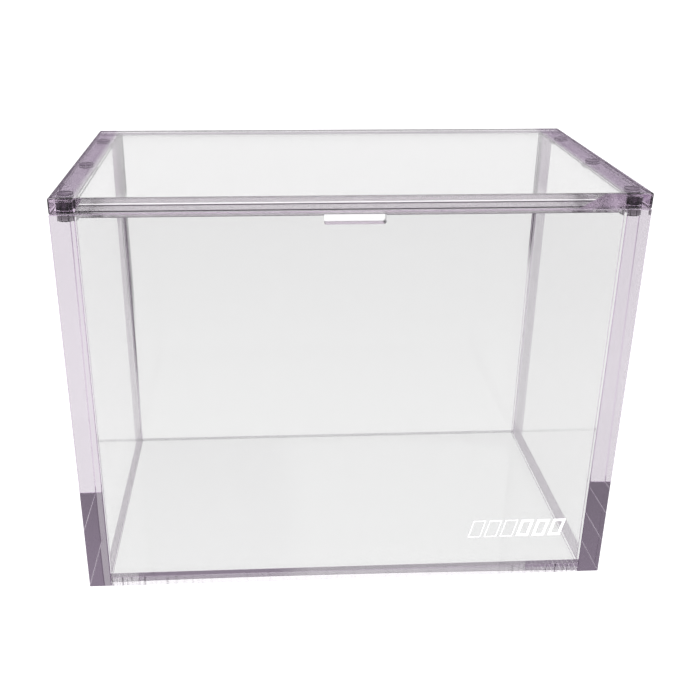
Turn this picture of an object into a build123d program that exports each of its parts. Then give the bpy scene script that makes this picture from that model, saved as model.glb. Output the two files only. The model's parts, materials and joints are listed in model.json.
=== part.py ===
from build123d import *
import os

# Clear acrylic card box with a lift-off lid that magnets hold down.
# Millimetres, +X to the right, front at -Y, +Z up. The origin is at the middle of the footprint, on the table.

# Driving dimensions
card_space_x = 132.0
card_space_y = 75.0
card_space_z = 102.0
side_sheet = 6.0
panel_sheet = 3.0
lid_sheet = 4.0
locating_sheet = 1.5
locating_clearance = 0.5
edge_chamfer = 0.25

magnet_diameter = 4.0
magnet_height = 2.0
lid_magnet_recess = 0.1
wall_magnet_recess = 0.6
magnet_first_row = 6.8
magnet_pitch = 30.5

notch_width = 15.0
notch_depth = 3.0
notch_corner = 0.6

# Derived sizes
box_x = card_space_x + 2 * side_sheet
box_y = card_space_y + 2 * panel_sheet
wall_height = panel_sheet + card_space_z + locating_sheet
panel_height = wall_height - panel_sheet
wall_middle_x = card_space_x / 2 + side_sheet / 2

SIDES = {"left": -1, "right": 1}
ROWS = {"front": 0, "middle": 1, "back": 2}


def plate(size_x, size_y, size_z, bottom_z, centre_x=0.0, centre_y=0.0):
    """A flat sheet of acrylic with its edges broken, given by its size, underside and footprint middle."""
    blank = Box(size_x, size_y, size_z, align=(Align.CENTER, Align.CENTER, Align.MIN))
    return Pos(centre_x, centre_y, bottom_z) * chamfer(blank.edges(), edge_chamfer)


def magnet_centres(side):
    """The three magnet axes over one side wall, front to back, as (x, y)."""
    x = SIDES[side] * wall_middle_x
    first_y = -box_y / 2 + magnet_first_row
    return [(x, first_y + row * magnet_pitch) for row in ROWS.values()]


def magnet_disc(x, y, bottom_z, height=magnet_height):
    """A disc on a vertical axis, used for the magnets and for the pockets that hold them."""
    disc = Cylinder(magnet_diameter / 2, height, align=(Align.CENTER, Align.CENTER, Align.MIN))
    return Pos(x, y, bottom_z) * disc


def side_wall(side):
    """A thick wall, the full depth of the box, with blind magnet pockets in its top edge."""
    wall = plate(side_sheet, box_y, wall_height, 0.0, SIDES[side] * wall_middle_x)
    pocket = magnet_height + wall_magnet_recess
    for x, y in magnet_centres(side):
        wall -= magnet_disc(x, y, wall_height - pocket, pocket)
    return wall


def base_plate():
    """The floor of the box, set between the side walls, with its front and back edges in the open."""
    return plate(card_space_x, box_y, panel_sheet, 0.0)


def panel(face):
    """The front (-1) or back (1) panel, standing on the base between the side walls."""
    centre_y = face * (card_space_y + panel_sheet) / 2
    return plate(card_space_x, panel_sheet, panel_height, panel_sheet, 0.0, centre_y)


def thumb_notch():
    """The cutter for the shallow notch in the top edge of the front panel."""
    cutter = Box(notch_width, 4 * panel_sheet, 2 * notch_depth)
    cutter = fillet(cutter.edges().filter_by(Axis.Y), notch_corner)
    return Pos(0, -(card_space_y + panel_sheet) / 2, wall_height) * cutter


def lid_plate():
    """The flat lid, as large as the box, with blind magnet pockets in its underside."""
    lid = plate(box_x, box_y, lid_sheet, wall_height)
    pocket = magnet_height + lid_magnet_recess
    for side in SIDES:
        for x, y in magnet_centres(side):
            lid -= magnet_disc(x, y, wall_height, pocket)
    return lid


def lid_locating_plate():
    """The thin sheet bonded under the lid that drops inside the four walls and centres it."""
    size_x = card_space_x - 2 * locating_clearance
    size_y = card_space_y - 2 * locating_clearance
    return plate(size_x, size_y, locating_sheet, wall_height - locating_sheet)


def magnets():
    """One named disc magnet for each pocket: three in each wall and three over each wall in the lid."""
    found = {}
    lid_bottom = wall_height + lid_magnet_recess
    wall_bottom = wall_height - wall_magnet_recess - magnet_height
    for side in SIDES:
        for row, (x, y) in zip(ROWS, magnet_centres(side)):
            found[f"lid_magnet_{side}_{row}"] = magnet_disc(x, y, lid_bottom)
            found[f"wall_magnet_{side}_{row}"] = magnet_disc(x, y, wall_bottom)
    return found


nodes = {
    "left_wall": side_wall("left"),
    "right_wall": side_wall("right"),
    "base_plate": base_plate(),
    "front_panel": panel(-1) - thumb_notch(),
    "back_panel": panel(1),
    "lid_plate": lid_plate(),
    "lid_locating_plate": lid_locating_plate(),
}
nodes.update(magnets())

os.makedirs("parts", exist_ok=True)
for name, solid in nodes.items():
    export_step(solid, f"parts/{name}.step")
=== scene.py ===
import json
import math

import bmesh
import bpy
from mathutils import Matrix, Vector


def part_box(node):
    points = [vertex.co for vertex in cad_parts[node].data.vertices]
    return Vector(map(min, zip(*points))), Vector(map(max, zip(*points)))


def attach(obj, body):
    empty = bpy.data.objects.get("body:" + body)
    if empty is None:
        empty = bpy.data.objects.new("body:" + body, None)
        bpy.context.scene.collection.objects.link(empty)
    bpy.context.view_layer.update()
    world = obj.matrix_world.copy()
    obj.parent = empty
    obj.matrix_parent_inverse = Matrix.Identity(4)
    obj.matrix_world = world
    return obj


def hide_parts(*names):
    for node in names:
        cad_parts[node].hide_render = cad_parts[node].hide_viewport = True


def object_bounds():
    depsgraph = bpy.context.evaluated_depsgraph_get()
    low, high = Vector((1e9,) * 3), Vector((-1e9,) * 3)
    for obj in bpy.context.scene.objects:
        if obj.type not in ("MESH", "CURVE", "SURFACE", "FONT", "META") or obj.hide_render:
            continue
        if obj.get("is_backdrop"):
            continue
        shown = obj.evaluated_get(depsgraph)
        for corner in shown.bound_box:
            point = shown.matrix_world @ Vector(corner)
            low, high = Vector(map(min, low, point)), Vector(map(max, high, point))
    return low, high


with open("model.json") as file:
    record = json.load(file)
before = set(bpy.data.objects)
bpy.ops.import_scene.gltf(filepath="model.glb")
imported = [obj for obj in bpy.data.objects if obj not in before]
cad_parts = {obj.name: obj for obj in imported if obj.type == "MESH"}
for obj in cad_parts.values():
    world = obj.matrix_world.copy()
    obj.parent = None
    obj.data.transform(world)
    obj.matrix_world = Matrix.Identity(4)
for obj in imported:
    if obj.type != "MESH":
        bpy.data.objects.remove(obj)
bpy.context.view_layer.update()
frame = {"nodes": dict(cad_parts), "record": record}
lowest, highest = (Vector(corner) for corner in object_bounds())
box_width = highest.x - lowest.x

MM = 0.001
BODIES = frame["record"]["behaviour"]["bodies"]
BODY_OF = {node: body for body, members in BODIES.items() for node in members}

# faces of the CAD model that the finishes are measured from
inner_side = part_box("base_plate")[1].x
panel_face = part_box("back_panel")[0].y
lid_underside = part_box("lid_plate")[0].z

# how the sheets meet: the panels reach a little into the base and the locating plate into the lid, so no
# air shows there; a thin gap parts the panels and the base from the walls, and the lid rests a hair above
WETTED = 0.05 * MM
JOINT_GAP = 0.02 * MM
RESTING_GAP = 0.03 * MM

EDGE_ROUND = 0.20 * MM
JOINT_ROUND = 0.08 * MM
LID_EDGE_ROUND = 0.45 * MM
NOTCH_ROUND = 0.60 * MM
EDGE_STEPS = 3
NOTCH_STEPS = 5
POCKET_SIDES = 48
SHEET_SHARP = math.radians(35)


# ---------------------------------------------------------------- node trees

# the part of a painted line's width that is at full strength
LINE_CORE = 0.6


class Shading:
    """The node tree of a material or of the world, with short calls for the nodes that are used often."""

    def __init__(self, owner):
        owner.use_nodes = True
        self.nodes = owner.node_tree.nodes
        self.links = owner.node_tree.links
        self.nodes.clear()

    def add(self, kind, **settings):
        """A new node. A setting is one of its inputs, with _ for a space, or else one of its properties."""
        node = self.nodes.new(kind)
        for key, value in settings.items():
            socket = node.inputs.get(key.replace("_", " "))
            if socket is None:
                setattr(node, key, value)
            else:
                self.feed(value, socket)
        return node

    def feed(self, value, socket):
        """Gives an input its value: a number, a colour or another node's output."""
        if isinstance(value, bpy.types.NodeSocket):
            self.links.new(value, socket)
        elif isinstance(value, tuple):
            socket.default_value = (*value, 1.0)
        else:
            socket.default_value = value

    def split(self, vector):
        """The x, y and z of a vector."""
        node = self.add("ShaderNodeSeparateXYZ")
        self.links.new(vector, node.inputs[0])
        return node.outputs

    def math(self, operation, *values):
        node = self.add("ShaderNodeMath", operation=operation)
        for value, socket in zip(values, node.inputs):
            self.feed(value, socket)
        return node.outputs[0]

    def product(self, first, *others):
        for other in others:
            first = self.math("MULTIPLY", first, other)
        return first

    def step(self, value, start, end):
        """0 before start, 1 past end and smooth between them, whichever of the two is the higher."""
        node = self.add("ShaderNodeMapRange", interpolation_type="SMOOTHSTEP", Value=value,
                        From_Min=min(start, end), From_Max=max(start, end),
                        To_Min=float(start > end), To_Max=float(start < end))
        return node.outputs["Result"]

    def line(self, value, middle, half_width):
        """1 near the middle value, falling to 0 at half_width from it."""
        away = self.math("ABSOLUTE", self.math("SUBTRACT", value, middle))
        return self.step(away, half_width, LINE_CORE * half_width)

    def mix(self, amount, low, high):
        """A colour between low and high."""
        node = self.add("ShaderNodeMix", data_type="RGBA")
        for value, index in ((amount, 0), (low, 6), (high, 7)):
            self.feed(value, node.inputs[index])
        return node.outputs[2]

    def noise(self, vector, scale, detail, roughness):
        node = self.add("ShaderNodeTexNoise", Vector=vector, Scale=scale, Detail=detail, Roughness=roughness)
        return node.outputs["Fac"]

    def object_place(self):
        """Where a point is in its object's own frame, which at rest is the CAD frame."""
        return self.add("ShaderNodeTexCoord").outputs["Object"]

    def painted_edge_shade(self):
        """How much painted shade a face takes: its share of a sheet's rounded edge, or of a magnet's sides
        and rims.
        """
        return self.add("ShaderNodeAttribute", attribute_name="painted_edge_shade").outputs["Fac"]

    def finish(self, shader, volume=None):
        out = self.add("ShaderNodeOutputMaterial", Surface=shader.outputs[0])
        if volume:
            self.feed(volume.outputs[0], out.inputs["Volume"])


def toned(tint, tone):
    return tuple(tone * part for part in tint)


# ---------------------------------------------------------------- how the joints and edges of the sheets show, and their painted shade

# painted shade on the sheets' rounded edges, standing in for the dark reflections along them
EDGE_SHADE_TINT = (1.0, 0.80, 1.05)
MARK_AND_SHADE_TINT = (1.0, 0.72, 1.06)
SOFT_EDGE = 0.1 * MM

# a thin tinted coat on each wall's inner face: painted shade that stands in for the lavender bands of shade
# which reflections inside the real wall show beside the back panel and the base; how far it reaches forward
# of the box's back and up from the table
SHADE_BAND_DEPTH = {"left": 17.0 * MM, "right": 14.0 * MM}
SHADE_BAND_HEIGHT = {"left": 9.5 * MM, "right": 8.0 * MM}
SHADE_BAND_TINT = {"left": (0.834, 0.796, 0.838), "right": (0.756, 0.706, 0.765)}
# far below a real coat's, so that the tint deepens much more at a slant than a real coat's would
SHADE_BAND_IOR = 1.01
# how thick it is, from 0 to 1, what the base adds to that, and how far below the lid's underside it thickens
SHADE_BAND_THIN = 0.32
SHADE_BAND_AT_BASE = 0.10
SHADE_BAND_THICKENS = (22.5 * MM, 14.5 * MM)


def wall_shade_band(side):
    """Where a wall's band of painted shade is and how thick: its tint hardly shows face on and deepens when
    seen aslant.
    """
    def painted_layer(nodes, x, y, z):
        inner = nodes.step(nodes.math("ABSOLUTE", x), inner_side + SOFT_EDGE, inner_side)
        start = highest.y - SHADE_BAND_DEPTH[side]
        behind = nodes.step(y, start - 4 * SOFT_EDGE, start)
        top = lowest.z + SHADE_BAND_HEIGHT[side]
        low = nodes.step(z, top + 2 * SOFT_EDGE, top)
        near_lid = nodes.step(z, *(lid_underside - below for below in SHADE_BAND_THICKENS))
        thickness = nodes.math("ADD", nodes.product(near_lid, 1.0 - SHADE_BAND_THIN), SHADE_BAND_THIN)
        thickness = nodes.math("ADD", nodes.product(low, SHADE_BAND_AT_BASE), thickness)
        # only light that comes from outside the sheet takes the tint
        outside = nodes.math("SUBTRACT", 1.0, nodes.add("ShaderNodeNewGeometry").outputs["Backfacing"])
        return nodes.product(inner, nodes.math("MAXIMUM", behind, low), outside, thickness)
    return painted_layer


# painted hairlines that stand in for the open joints at the back panel's ends, in millimetres: which end,
# how far in from the wall, half the width, and the heights between which the line fades in
HAIRLINES = ((-1, 0.20, 0.15, 10, 40), (-1, 0.75, 0.10, 40, 60), (1, 0.20, 0.17, 60, 75),
             (-1, 0.15, 0.26, 86, 88), (-1, 0.90, 0.20, 86, 88), (1, 0.20, 0.34, 84, 88))
HAIRLINE_TONE = 0.01


def panel_seams(nodes, x, y, z):
    """Dark lines along the back panel's upright joints, which fade out towards the base."""
    behind = nodes.step(y, panel_face - 5 * SOFT_EDGE, panel_face - SOFT_EDGE)
    found = []
    for end, inset, half_width, low, high in HAIRLINES:
        line = nodes.line(x, end * (inner_side - inset * MM), half_width * MM)
        upper = nodes.step(z, low * MM, high * MM)
        found.append((nodes.product(line, behind, upper), HAIRLINE_TONE))
    return found


def front_edge(nodes, y):
    return nodes.step(y, lowest.y + 3 * SOFT_EDGE, lowest.y + SOFT_EDGE)


# the lid's front edge, in millimetres from its underside: each painted line of shade's height, half its width
# and its tone
LID_LINES = ((2.16, 0.17, 0.06), (0.76, 0.20, 0.03), (0.22, 0.12, 0.75))
LID_GLEAM = (2.52, 0.16)
GLEAM_COLOUR = (0.5, 0.5, 0.5)
# its ends, deeper in painted shade: how far in each one reaches at the underside, in millimetres, and the
# slant of its border
LID_ENDS = {-1: (5.6, -0.62), 1: (18.5, 1.75)}
LID_END_TONE = 0.60
# a dark rim of painted shade along the lid's back top edge
LID_RIM_DEPTH = 1.3 * MM
LID_RIM_HEIGHT = 0.4 * MM
LID_RIM_TONE = 0.02
LID_HAZE = 0.25


def lid_edge(nodes, x, y, z):
    """The two ends of the lid's front edge, each up to a slanting border, and the stretch between them."""
    above = nodes.math("SUBTRACT", z, lid_underside)
    reached = []
    for end, (reach, slant) in LID_ENDS.items():
        outward = nodes.math("SUBTRACT", nodes.product(x, end), nodes.product(above, slant))
        border = highest.x - reach * MM
        reached.append(nodes.step(outward, border - 3 * SOFT_EDGE, border))
    ends = nodes.math("MAXIMUM", *reached)
    front = front_edge(nodes, y)
    return nodes.product(front, ends), nodes.product(front, nodes.math("SUBTRACT", 1.0, ends))


def lid_painted_shade(nodes, x, y, z):
    """Painted shade on the lid: dark lines along its front edge, a deeper tone at its ends, and a dark rim at
    the back.
    """
    ends, middle = lid_edge(nodes, x, y, z)
    found = [(ends, LID_END_TONE)]
    for height, half_width, tone in LID_LINES:
        line = nodes.line(z, lid_underside + height * MM, half_width * MM)
        found.append((nodes.product(middle, line), tone))
    rim_start = highest.y - LID_RIM_DEPTH
    back = nodes.step(y, rim_start - 3 * SOFT_EDGE, rim_start)
    rim_foot = highest.z - LID_RIM_HEIGHT
    top = nodes.step(z, rim_foot - SOFT_EDGE, rim_foot)
    found.append((nodes.product(back, top), LID_RIM_TONE))
    return found


def lid_gleam(nodes, x, y, z):
    """A faintly glowing line that stands in for the bright reflection along the lid's front edge."""
    height, half_width = LID_GLEAM
    ends, middle = lid_edge(nodes, x, y, z)
    return nodes.product(middle, nodes.line(z, lid_underside + height * MM, half_width * MM))


def lid_haze(nodes, x, y, z):
    """The lid's front edge is only satin between the magnets."""
    between = nodes.step(nodes.math("ABSOLUTE", x), inner_side, inner_side - 1 * MM)
    return nodes.product(front_edge(nodes, y), between, LID_HAZE)


SAW_MARKS_PER_METRE = 800.0
SAW_MARK_LEAN = 60.0
SAW_MARK_TONE = 0.06
SAW_MARK_GRAIN = (0.48, 0.66)
SAW_MARKS_FADE = (36.0 * MM, 4.0 * MM)
SAW_MARKS_MIDDLE = 0.15


def base_seams(nodes, x, y, z):
    """Painted upright saw marks on the base's front edge, thickest near its two ends."""
    ends = nodes.step(nodes.math("ABSOLUTE", x), *(inner_side - inset for inset in SAW_MARKS_FADE))
    stretched = nodes.add("ShaderNodeCombineXYZ", X=nodes.product(x, SAW_MARKS_PER_METRE),
                          Z=nodes.product(z, SAW_MARK_LEAN))
    grain = nodes.noise(stretched.outputs[0], 1.0, 3.0, 0.6)
    marks = nodes.product(nodes.step(grain, *SAW_MARK_GRAIN), nodes.math("ADD", ends, SAW_MARKS_MIDDLE))
    return [(nodes.product(front_edge(nodes, y), marks), SAW_MARK_TONE)]


# ---------------------------------------------------------------- materials

ACRYLIC_IOR = 1.49
POLISH_DEPTH = 0.012
SMEARS_PER_METRE = 55.0
SMEAR_RANGE = (0.45, 0.75)


def polish(nodes, place):
    """Buffed cast sheet: a polish that wanders a little, too fine to blur what shows through."""
    smears = nodes.noise(place, SMEARS_PER_METRE, 5.0, 0.65)
    return nodes.product(nodes.step(smears, *SMEAR_RANGE), POLISH_DEPTH)


def acrylic(name, tint, edge_shade_tone, body, marks_and_shade=None, haze=None, gleam=None, painted_layer=None, shade_band_tint=None):
    """Clear cast sheet: glass-like, with its own body colour and density, and with painted shade on its
    rounded edges.
    """
    material = bpy.data.materials.new(name)
    nodes = Shading(material)
    place = nodes.object_place()
    x, y, z = nodes.split(place)
    colour = tint
    # dark joint lines, saw marks and painted shade, each with its tone
    for band, tone in marks_and_shade(nodes, x, y, z) if marks_and_shade else ():
        colour = nodes.mix(band, colour, toned(MARK_AND_SHADE_TINT, tone))
    # the rounded edges take their painted shade
    colour = nodes.mix(nodes.painted_edge_shade(), colour, toned(EDGE_SHADE_TINT, edge_shade_tone))
    roughness = polish(nodes, place)
    if haze:
        roughness = nodes.math("MAXIMUM", roughness, haze(nodes, x, y, z))
    shader = nodes.add("ShaderNodeBsdfPrincipled", Transmission_Weight=1.0, IOR=ACRYLIC_IOR,
                       Base_Color=colour, Roughness=roughness)
    if gleam:
        glint = nodes.mix(gleam(nodes, x, y, z), (0.0, 0.0, 0.0), GLEAM_COLOUR)
        nodes.feed(glint, shader.inputs["Emission Color"])
        nodes.feed(1.0, shader.inputs["Emission Strength"])
    # a tinted coat that paints the bands of shade on the walls
    if painted_layer:
        nodes.feed(painted_layer(nodes, x, y, z), shader.inputs["Coat Weight"])
        nodes.feed(shade_band_tint, shader.inputs["Coat Tint"])
        nodes.feed(SHADE_BAND_IOR, shader.inputs["Coat IOR"])
        nodes.feed(0.0, shader.inputs["Coat Roughness"])
    absorbed, density = body
    nodes.finish(shader, nodes.add("ShaderNodeVolumeAbsorption", Color=absorbed, Density=density))
    return material


def nickel():
    """Nickel-plated disc magnets with a slightly uneven plating: bright flat ends, and sides and rims
    darkened with painted shade.
    """
    material = bpy.data.materials.new("nickel_plating")
    nodes = Shading(material)
    grain = nodes.noise(nodes.object_place(), PLATING_GRAIN, 4.0, 0.6)
    nodes.finish(nodes.add("ShaderNodeBsdfPrincipled", Metallic=1.0,
                           Base_Color=nodes.mix(nodes.painted_edge_shade(), NICKEL_END, NICKEL_SHADE),
                           Roughness=nodes.math("ADD", nodes.product(grain, 0.16), 0.06)))
    return material


def white_ink():
    """Opaque white screen ink, with a low glow so that it stands out from the panel it is printed on."""
    material = bpy.data.materials.new("white_screen_ink")
    nodes = Shading(material)
    grain = nodes.noise(nodes.object_place(), INK_GRAIN, 3.0, 0.6)
    nodes.finish(nodes.add("ShaderNodeBsdfPrincipled", Emission_Strength=INK_GLOW,
                           Emission_Color=(1.0, 1.0, 1.0),
                           Base_Color=nodes.mix(grain, INK_LOW, INK_HIGH),
                           Roughness=nodes.math("ADD", nodes.product(grain, 0.3), 0.35)))
    return material


# grains per metre
PLATING_GRAIN = 2500.0
INK_GRAIN = 3000.0
NICKEL_END = (0.46, 0.42, 0.46)
# the colour of the painted shade on the magnets' sides and rims
NICKEL_SHADE = (0.03, 0.025, 0.03)
INK_GLOW = 0.5
INK_LOW = (0.84, 0.84, 0.85)
INK_HIGH = (0.96, 0.96, 0.96)

# each sheet's colour per face crossed, and its body: absorbed colour and density
# both walls are the same acrylic; the right one's deeper tint is painted shade
WALL_TINT = {"left": (0.89, 0.895, 0.89), "right": (0.83, 0.835, 0.83)}
WALL_BODY = ((0.48, 0.385, 0.495), 9.0)
PANEL_BODY = ((0.52, 0.30, 0.54), 6.0)
BASE_BODY = ((0.52, 0.30, 0.54), 2.0)
LID_BODY = ((0.28, 0.18, 0.28), 5.0)

wall_acrylic = {}
for side, tint in WALL_TINT.items():
    wall_acrylic[side] = acrylic(f"clear_{side}_wall", tint, 0.70, WALL_BODY, painted_layer=wall_shade_band(side),
                                 shade_band_tint=SHADE_BAND_TINT[side])
panel_acrylic = acrylic("clear_panel_sheet", (0.81, 0.814, 0.81), 0.60, PANEL_BODY, panel_seams)
base_acrylic = acrylic("clear_base_sheet", (0.855, 0.86, 0.855), 0.60, BASE_BODY, base_seams)
lid_acrylic = acrylic("clear_lid_sheet", (0.94, 0.94, 0.94), 0.03, LID_BODY, lid_painted_shade, lid_haze, lid_gleam)
locating_acrylic = acrylic("clear_locating_sheet", (0.98, 0.98, 0.98), 0.05, LID_BODY)
metal = nickel()
ink = white_ink()


# ---------------------------------------------------------------- mesh tools

def new_piece(name, mesh, material):
    """Puts a finished mesh in the scene."""
    mesh.materials.clear()
    mesh.materials.append(material)
    piece = bpy.data.objects.new(name, mesh)
    bpy.context.collection.objects.link(piece)
    return piece


def stand_in(name, mesh, material, node):
    """Puts a finished mesh in the scene in place of one CAD node."""
    piece = new_piece(name, mesh, material)
    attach(piece, BODY_OF[node])
    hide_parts(node)


def mesh_of(shape, name):
    mesh = bpy.data.meshes.new(name)
    shape.to_mesh(mesh)
    shape.free()
    return mesh


def block(shape, low, high):
    """Adds a plain block to a bmesh that is still empty."""
    bmesh.ops.create_cube(shape, size=1.0)
    middle = (low + high) / 2
    size = high - low
    for vert in shape.verts:
        vert.co = Vector(middle[i] + vert.co[i] * size[i] for i in range(3))


def rounded_block(low, high, radius, plain=lambda centre: False):
    """A block with all its edges rounded, as a bmesh. Its rounding is marked for painted shade unless it is
    plain.
    """
    shape = bmesh.new()
    marked = shape.faces.layers.float.new("painted_edge_shade")
    block(shape, low, high)
    rounding = bmesh.ops.bevel(shape, geom=shape.edges[:], offset=radius, segments=EDGE_STEPS,
                               profile=0.5, affect="EDGES", clamp_overlap=True)
    for face in rounding["faces"]:
        face[marked] = 0.0 if plain(face.calc_center_median()) else 1.0
    return shape


def upright_cylinder(shape, centre_x, centre_y, bottom, top, radius, sides):
    """Adds a closed cylinder on a vertical axis to a bmesh."""
    place = Matrix.Translation((centre_x, centre_y, (top + bottom) / 2))
    bmesh.ops.create_cone(shape, cap_ends=True, segments=sides, radius1=radius, radius2=radius,
                          depth=top - bottom, matrix=place)


def applied(thing):
    """The mesh of an object with its modifiers applied."""
    bpy.context.view_layer.update()
    finished = thing.evaluated_get(bpy.context.evaluated_depsgraph_get())
    return bpy.data.meshes.new_from_object(finished)


def cut(mesh, cutters):
    """The mesh with the cutters taken out of it, and its flat faces shaded flat up to their rounding."""
    mesh.shade_smooth()
    blank = bpy.data.objects.new("blank", mesh)
    bpy.context.collection.objects.link(blank)
    helpers = []
    for cutter in cutters:
        helper = bpy.data.objects.new("cutter", cutter)
        bpy.context.collection.objects.link(helper)
        helpers.append(helper)
        modifier = blank.modifiers.new("cut", "BOOLEAN")
        modifier.operation = "DIFFERENCE"
        modifier.solver = "EXACT"
        modifier.object = helper
    blank.data = applied(blank)
    blank.modifiers.clear()
    blank.data.shade_smooth()
    blank.data.set_sharp_from_angle(angle=SHEET_SHARP)
    flatten = blank.modifiers.new("flatten", "WEIGHTED_NORMAL")
    flatten.mode = "FACE_AREA"
    flatten.weight = 100
    flatten.keep_sharp = True
    result = applied(blank)
    for helper in [blank, *helpers]:
        bpy.data.objects.remove(helper)
    return result


# ---------------------------------------------------------------- acrylic sheets

def pockets(wanted, opening, end):
    """Cutters for the blind pockets of the magnets whose names start with a given word."""
    found = []
    for node in frame["nodes"]:
        if node.startswith(wanted):
            low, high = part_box(node)
            middle = (low + high) / 2
            bottom, top = sorted((opening, end(low, high)))
            radius = (high.x - low.x) / 2
            shape = bmesh.new()
            upright_cylinder(shape, middle.x, middle.y, bottom, top, radius, POCKET_SIDES)
            found.append(mesh_of(shape, "pocket"))
    return found


def notch_cutter():
    """The thumb notch in the front panel's top edge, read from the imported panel's own corners."""
    low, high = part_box("front_panel")
    vertices = frame["nodes"]["front_panel"].data.vertices
    corners = [v.co for v in vertices if abs(v.co.x) < 0.25 * high.x]
    left, right = min(v.x for v in corners), max(v.x for v in corners)
    depth = high.z - min(v.z for v in corners)
    middle_y = (low.y + high.y) / 2
    through = 2 * (high.y - low.y)
    shape = bmesh.new()
    lower_corner = Vector((left, middle_y - through, high.z - depth))
    upper_corner = Vector((right, middle_y + through, high.z + depth))
    block(shape, lower_corner, upper_corner)
    across = [e for e in shape.edges if abs(e.verts[0].co.y - e.verts[1].co.y) > MM]
    bmesh.ops.bevel(shape, geom=across, offset=NOTCH_ROUND, segments=NOTCH_STEPS, profile=0.5,
                    affect="EDGES")
    return mesh_of(shape, "notch")


def sheet_block(node, grow_low=(0, 0, 0), grow_high=(0, 0, 0), **rounding):
    """The rounded block of a sheet, with its cemented faces grown and its resting faces drawn back."""
    low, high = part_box(node)
    rounding.setdefault("radius", EDGE_ROUND)
    return mesh_of(rounded_block(low - Vector(grow_low), high + Vector(grow_high), **rounding), node)


def sheet(node, mesh, material):
    stand_in(node + "_sheet", mesh, material, node)


def wall(side):
    node = side + "_wall"
    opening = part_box(node)[1].z + MM
    blank = sheet_block(node, grow_high=(0, 0, -RESTING_GAP))
    mesh = cut(blank, pockets("wall_magnet_" + side, opening, lambda low, high: low.z))
    sheet(node, mesh, wall_acrylic[side])


def panel(node):
    """The front or back panel. The front one leaves room on its face for the print."""
    in_front = node == "front_panel"
    print_room = PRINT_THICKNESS if in_front else 0
    blank = sheet_block(node, (-JOINT_GAP, -print_room, WETTED), (-JOINT_GAP, 0, -RESTING_GAP),
                        radius=JOINT_ROUND)
    sheet(node, cut(blank, [notch_cutter()] if in_front else []), panel_acrylic)


def base():
    blank = sheet_block("base_plate", (-JOINT_GAP, 0, 0), (-JOINT_GAP, 0, 0), radius=JOINT_ROUND)
    sheet("base_plate", cut(blank, []), base_acrylic)


def lid():
    low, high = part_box("lid_plate")

    def flush(centre):
        """The long front edges and the lower back edge, which take no painted shade and stay as clear as the
        faces.
        """
        long_edge = abs(centre.x) < high.x - 2 * LID_EDGE_ROUND
        return long_edge and (centre.y < 0 or centre.z < (low.z + high.z) / 2)

    blank = sheet_block("lid_plate", radius=LID_EDGE_ROUND, plain=flush)
    mesh = cut(blank, pockets("lid_magnet", low.z - MM, lambda low, high: high.z))
    sheet("lid_plate", mesh, lid_acrylic)


def locating_plate():
    low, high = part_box("lid_locating_plate")

    def left_unshaded(centre):
        """Every rounded edge but the lower front one, which alone takes the painted shade."""
        return centre.z > (low.z + high.z) / 2 or centre.y > low.y + 2 * EDGE_ROUND

    blank = sheet_block("lid_locating_plate", grow_high=(0, 0, WETTED), plain=left_unshaded)
    sheet("lid_locating_plate", cut(blank, []), locating_acrylic)


# ---------------------------------------------------------------- printed mark

PRINT_THICKNESS = 0.02 * MM
# how much of the room for it the ink takes up
INK_FILLS = 0.75
MARK_LEFT = 33.4 * MM
MARK_FOOT = 12.8 * MM
CARD_WIDTH = 3.5 * MM
CARD_HEIGHT = 5.4 * MM
CARD_STEP = 4.5 * MM
CARD_SLANT = 0.25
THIN_BORDER = 0.28 * MM
THICK_BORDER = 0.80 * MM
CARDS_OF_EACH = 3


def card_shape(shape, left, border, face_y):
    """One slanted playing-card outline of flat ink, added to a bmesh."""
    def corner(across, up):
        return shape.verts.new((left + across + CARD_SLANT * up, face_y, MARK_FOOT + up))

    outer = [corner(0, 0), corner(CARD_WIDTH, 0), corner(CARD_WIDTH, CARD_HEIGHT), corner(0, CARD_HEIGHT)]
    right, top = CARD_WIDTH - border, CARD_HEIGHT - border
    inner = [corner(border, border), corner(right, border), corner(right, top), corner(border, top)]
    for i in range(4):
        j = (i + 1) % 4
        shape.faces.new((outer[i], outer[j], inner[j], inner[i]))


def mark():
    """A row of plain card outlines in white ink, low on the right of the front panel."""
    face_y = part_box("front_panel")[0].y
    shape = bmesh.new()
    for place, border in enumerate([THIN_BORDER] * CARDS_OF_EACH + [THICK_BORDER] * CARDS_OF_EACH):
        card_shape(shape, MARK_LEFT + place * CARD_STEP, border, face_y)
    painted_layer = bmesh.ops.extrude_face_region(shape, geom=shape.faces[:])
    raised = [item for item in painted_layer["geom"] if isinstance(item, bmesh.types.BMVert)]
    bmesh.ops.translate(shape, verts=raised, vec=(0, INK_FILLS * PRINT_THICKNESS, 0))
    bmesh.ops.recalc_face_normals(shape, faces=shape.faces[:])
    piece = new_piece("card_row_print", mesh_of(shape, "card_row_print"), ink)
    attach(piece, BODY_OF["front_panel"])


# ---------------------------------------------------------------- magnets

MAGNET_ROUND = 0.22 * MM
MAGNET_ROUND_STEPS = 4
MAGNET_SIDES = 64
# the magnets reach a little into the acrylic around them, so that no air shows between the two
MAGNET_SEAT = 0.02 * MM
# how much painted shade the sides take, between the flat ends at 0 and the rims at 1; the lid's magnets take
# more than the walls'
LID_MAGNET_SIDE_SHADE = 0.75
WALL_MAGNET_SIDE_SHADE = 0.30
MAGNET_SHARP = math.radians(40)
FLAT = 0.99
SAME_HEIGHT = 1e-7


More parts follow.
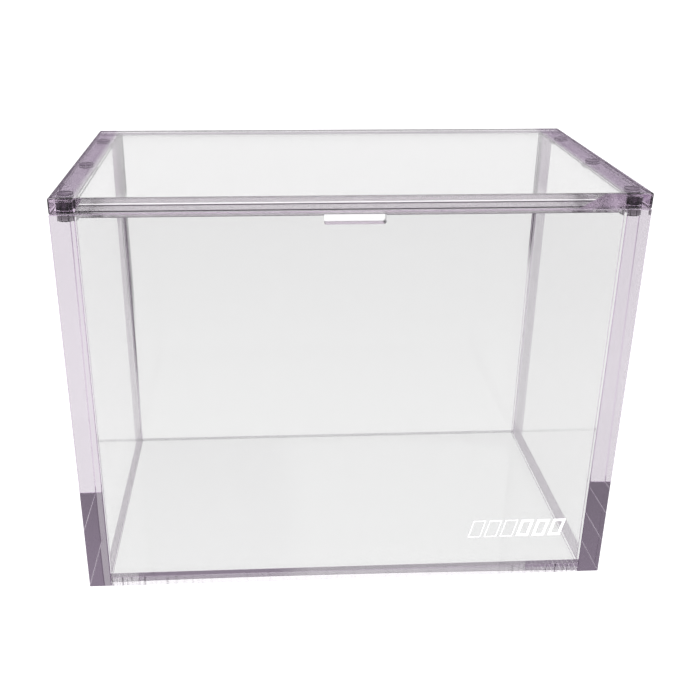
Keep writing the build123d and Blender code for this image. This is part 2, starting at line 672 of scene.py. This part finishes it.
def magnet(node):
    """A disc magnet with rounded rims."""
    low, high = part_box(node)
    middle = (low + high) / 2
    in_lid = node.startswith("lid")
    bottom = low.z - (0 if in_lid else MAGNET_SEAT)
    top = high.z + (MAGNET_SEAT if in_lid else 0)
    shape = bmesh.new()
    marked = shape.faces.layers.float.new("painted_edge_shade")
    radius = (high.x - low.x) / 2 + MAGNET_SEAT
    upright_cylinder(shape, middle.x, middle.y, bottom, top, radius, MAGNET_SIDES)
    rims = [e for e in shape.edges if abs(e.verts[0].co.z - e.verts[1].co.z) < SAME_HEIGHT]
    rounding = bmesh.ops.bevel(shape, geom=rims, offset=MAGNET_ROUND, segments=MAGNET_ROUND_STEPS,
                               profile=0.5, affect="EDGES")
    # the sides and rims take painted shade, the flat ends none
    side_shade = LID_MAGNET_SIDE_SHADE if in_lid else WALL_MAGNET_SIDE_SHADE
    for face in shape.faces:
        face[marked] = 0.0 if abs(face.normal.z) > FLAT else side_shade
    for face in rounding["faces"]:
        face[marked] = 1.0
    mesh = mesh_of(shape, node)
    mesh.shade_smooth()
    mesh.set_sharp_from_angle(angle=MAGNET_SHARP)
    stand_in(node + "_disc", mesh, metal, node)


mark()
for side in ("left", "right"):
    wall(side)
for node in ("front_panel", "back_panel"):
    panel(node)
base()
lid()
locating_plate()
for node in frame["nodes"]:
    if "magnet" in node:
        magnet(node)


# ---------------------------------------------------------------- studio

FLOOR_SIZE = 24.0
FLOOR_DROP = 0.3 * MM
# the table glows by itself and takes no shadow; its bright part is a painted pool of light that widens
# towards the back and ends softly
POOL_GLOW = (1.30, 1.30, 1.30)
TABLE_GLOW = (0.56, 0.53, 0.57)
POOL_FRONT = -0.10
POOL_HALF_WIDTH = 0.125
POOL_WIDENING = 0.45
POOL_SOFTNESS = 0.20


def floor():
    """A white table with a painted pool of light where the box stands and behind it."""
    material = bpy.data.materials.new("white_table")
    nodes = Shading(material)
    x, y, z = nodes.split(nodes.add("ShaderNodeNewGeometry").outputs["Position"])
    behind_front = nodes.math("MAXIMUM", nodes.math("SUBTRACT", y, POOL_FRONT), 0.0)
    half_width = nodes.math("ADD", nodes.product(behind_front, POOL_WIDENING), POOL_HALF_WIDTH)
    past_side = nodes.math("SUBTRACT", nodes.math("ABSOLUTE", x), half_width)
    lit = nodes.product(nodes.step(past_side, POOL_SOFTNESS, 0.0),
                        nodes.step(y, POOL_FRONT - POOL_SOFTNESS, POOL_FRONT))
    nodes.finish(nodes.add("ShaderNodeEmission", Color=nodes.mix(lit, TABLE_GLOW, POOL_GLOW)))
    bpy.ops.mesh.primitive_plane_add(size=FLOOR_SIZE, location=(0, 0, lowest.z - FLOOR_DROP))
    table = bpy.context.object
    table.name = "white_table"
    table.data.materials.append(material)
    table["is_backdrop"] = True


# brightness of the room by height above the horizon, in degrees
CEILING_STRIP = ((0, 1.30), (7, 1.10), (10, 0.95), (20, 0.90), (26, 0.32), (31, 0.25), (36, 0.36), (50, 0.36),
                 (60, 1.5), (90, 1.7))
ROOM_BEHIND = ((0, 1.30), (6, 1.00), (9.5, 0.50), (20, 0.40), (28, 0.26), (33, 0.26), (50, 0.30), (60, 1.5),
               (90, 1.7))
ROOM_IN_FRONT = ((0, 1.00), (8, 0.80), (20, 0.35), (35, 0.15), (50, 0.20), (60, 1.5), (90, 1.7))
ROOM_TINT = (1.0, 0.81, 1.07)
# parts of the room brighter than this are white, and dimmer ones take the tint over this range
WHITE_FROM = 0.9
TINT_RANGE = 0.4
# the strip and the screen run from front to back, so their sides are given as x over height; they are placed
# for what the sheets' edges refract when the box is seen from the front
STRIP_LEFT = -0.77
STRIP_RIGHT = 1.50
STRIP_SOFTNESS = 0.025
# a pale screen behind and above, to the right, that only the base's front edge picks up
SCREEN_LEFT = 0.0
SCREEN_RIGHT = 0.52
SCREEN_LOW = 0.48
SCREEN_HIGH = 0.80
SCREEN_SOFTNESS = 0.01
SCREEN_TONE = (0.62, 0.59, 0.63)
FRONT_TO_BACK = 0.3


def sky_ramp(nodes, height, steps):
    """A colour ramp by height above the horizon: dim parts take the tint, bright parts are white."""
    ramp = nodes.add("ShaderNodeValToRGB", Fac=height)
    peak = max(value for degrees, value in steps)
    stops = ramp.color_ramp.elements
    while len(stops) > 1:
        stops.remove(stops[-1])
    for index, (degrees, value) in enumerate(steps):
        place = math.sin(math.radians(degrees))
        stop = stops[0] if index == 0 else stops.new(place)
        stop.position = place
        dimness = max(0.0, min(1.0, (WHITE_FROM - value) / TINT_RANGE))
        stop.color = tuple(value / peak * (1 + dimness * (part - 1)) for part in ROOM_TINT) + (1.0,)
    scale = nodes.add("ShaderNodeVectorMath", operation="SCALE", Scale=peak)
    nodes.feed(ramp.outputs["Color"], scale.inputs[0])
    return scale.outputs[0]


def room():
    """A soft white studio that dims and takes a faint lavender tint between the horizon and the ceiling."""
    sky = bpy.data.worlds.new("studio")
    bpy.context.scene.world = sky
    nodes = Shading(sky)
    x, y, z = nodes.split(nodes.add("ShaderNodeTexCoord").outputs["Generated"])
    height = nodes.math("MAXIMUM", z, MM)
    across = nodes.math("DIVIDE", x, height)
    strip = nodes.product(nodes.step(across, STRIP_LEFT - STRIP_SOFTNESS, STRIP_LEFT + STRIP_SOFTNESS),
                          nodes.step(across, STRIP_RIGHT + STRIP_SOFTNESS, STRIP_RIGHT - STRIP_SOFTNESS))
    behind = nodes.mix(strip, sky_ramp(nodes, height, ROOM_BEHIND), sky_ramp(nodes, height, CEILING_STRIP))
    screen = nodes.product(nodes.step(across, SCREEN_LEFT, SCREEN_LEFT + 8 * SCREEN_SOFTNESS),
                           nodes.step(across, SCREEN_RIGHT, SCREEN_RIGHT - SCREEN_SOFTNESS),
                           nodes.step(height, SCREEN_LOW, SCREEN_LOW + SCREEN_SOFTNESS),
                           nodes.step(height, SCREEN_HIGH, SCREEN_HIGH - SCREEN_SOFTNESS))
    behind = nodes.mix(screen, behind, SCREEN_TONE)
    in_front = sky_ramp(nodes, height, ROOM_IN_FRONT)
    whole = nodes.mix(nodes.step(y, -FRONT_TO_BACK, FRONT_TO_BACK), in_front, behind)
    nodes.add("ShaderNodeOutputWorld", Surface=nodes.add("ShaderNodeBackground", Color=whole).outputs[0])


# the photograph's viewpoint, in box widths and radians
VIEWPOINT = Vector((-0.1503, -1.8039, 1.1677))
VIEW_TILT = 0.4169
VIEW_TURN = 0.0609
VIEW_ROLL = -0.0066
VIEW_SHIFT = 0.043
FOCAL_LENGTH = 49.01
SENSOR_WIDTH = 36.0
NEAREST = 0.005
FURTHEST = 100.0


def camera():
    lens = bpy.data.cameras.new("photo_view")
    lens.lens = FOCAL_LENGTH
    lens.sensor_width = SENSOR_WIDTH
    lens.shift_x = VIEW_SHIFT
    lens.clip_start = NEAREST
    lens.clip_end = FURTHEST
    view = bpy.data.objects.new("photo_view", lens)
    bpy.context.collection.objects.link(view)
    view.location = VIEWPOINT * box_width
    turn = Matrix.Rotation(-VIEW_TURN, 3, "Z") @ Matrix.Rotation(math.pi / 2 - VIEW_TILT, 3, "X")
    view.rotation_euler = (turn @ Matrix.Rotation(-VIEW_ROLL, 3, "Z")).to_euler()
    bpy.context.scene.camera = view


LIGHT_BOUNCES = 40

floor()
room()
camera()
scene = bpy.context.scene
scene.view_settings.view_transform = "Standard"
scene.cycles.max_bounces = LIGHT_BOUNCES
scene.cycles.transmission_bounces = LIGHT_BOUNCES
scene.cycles.glossy_bounces = LIGHT_BOUNCES
scene.cycles.caustics_refractive = True
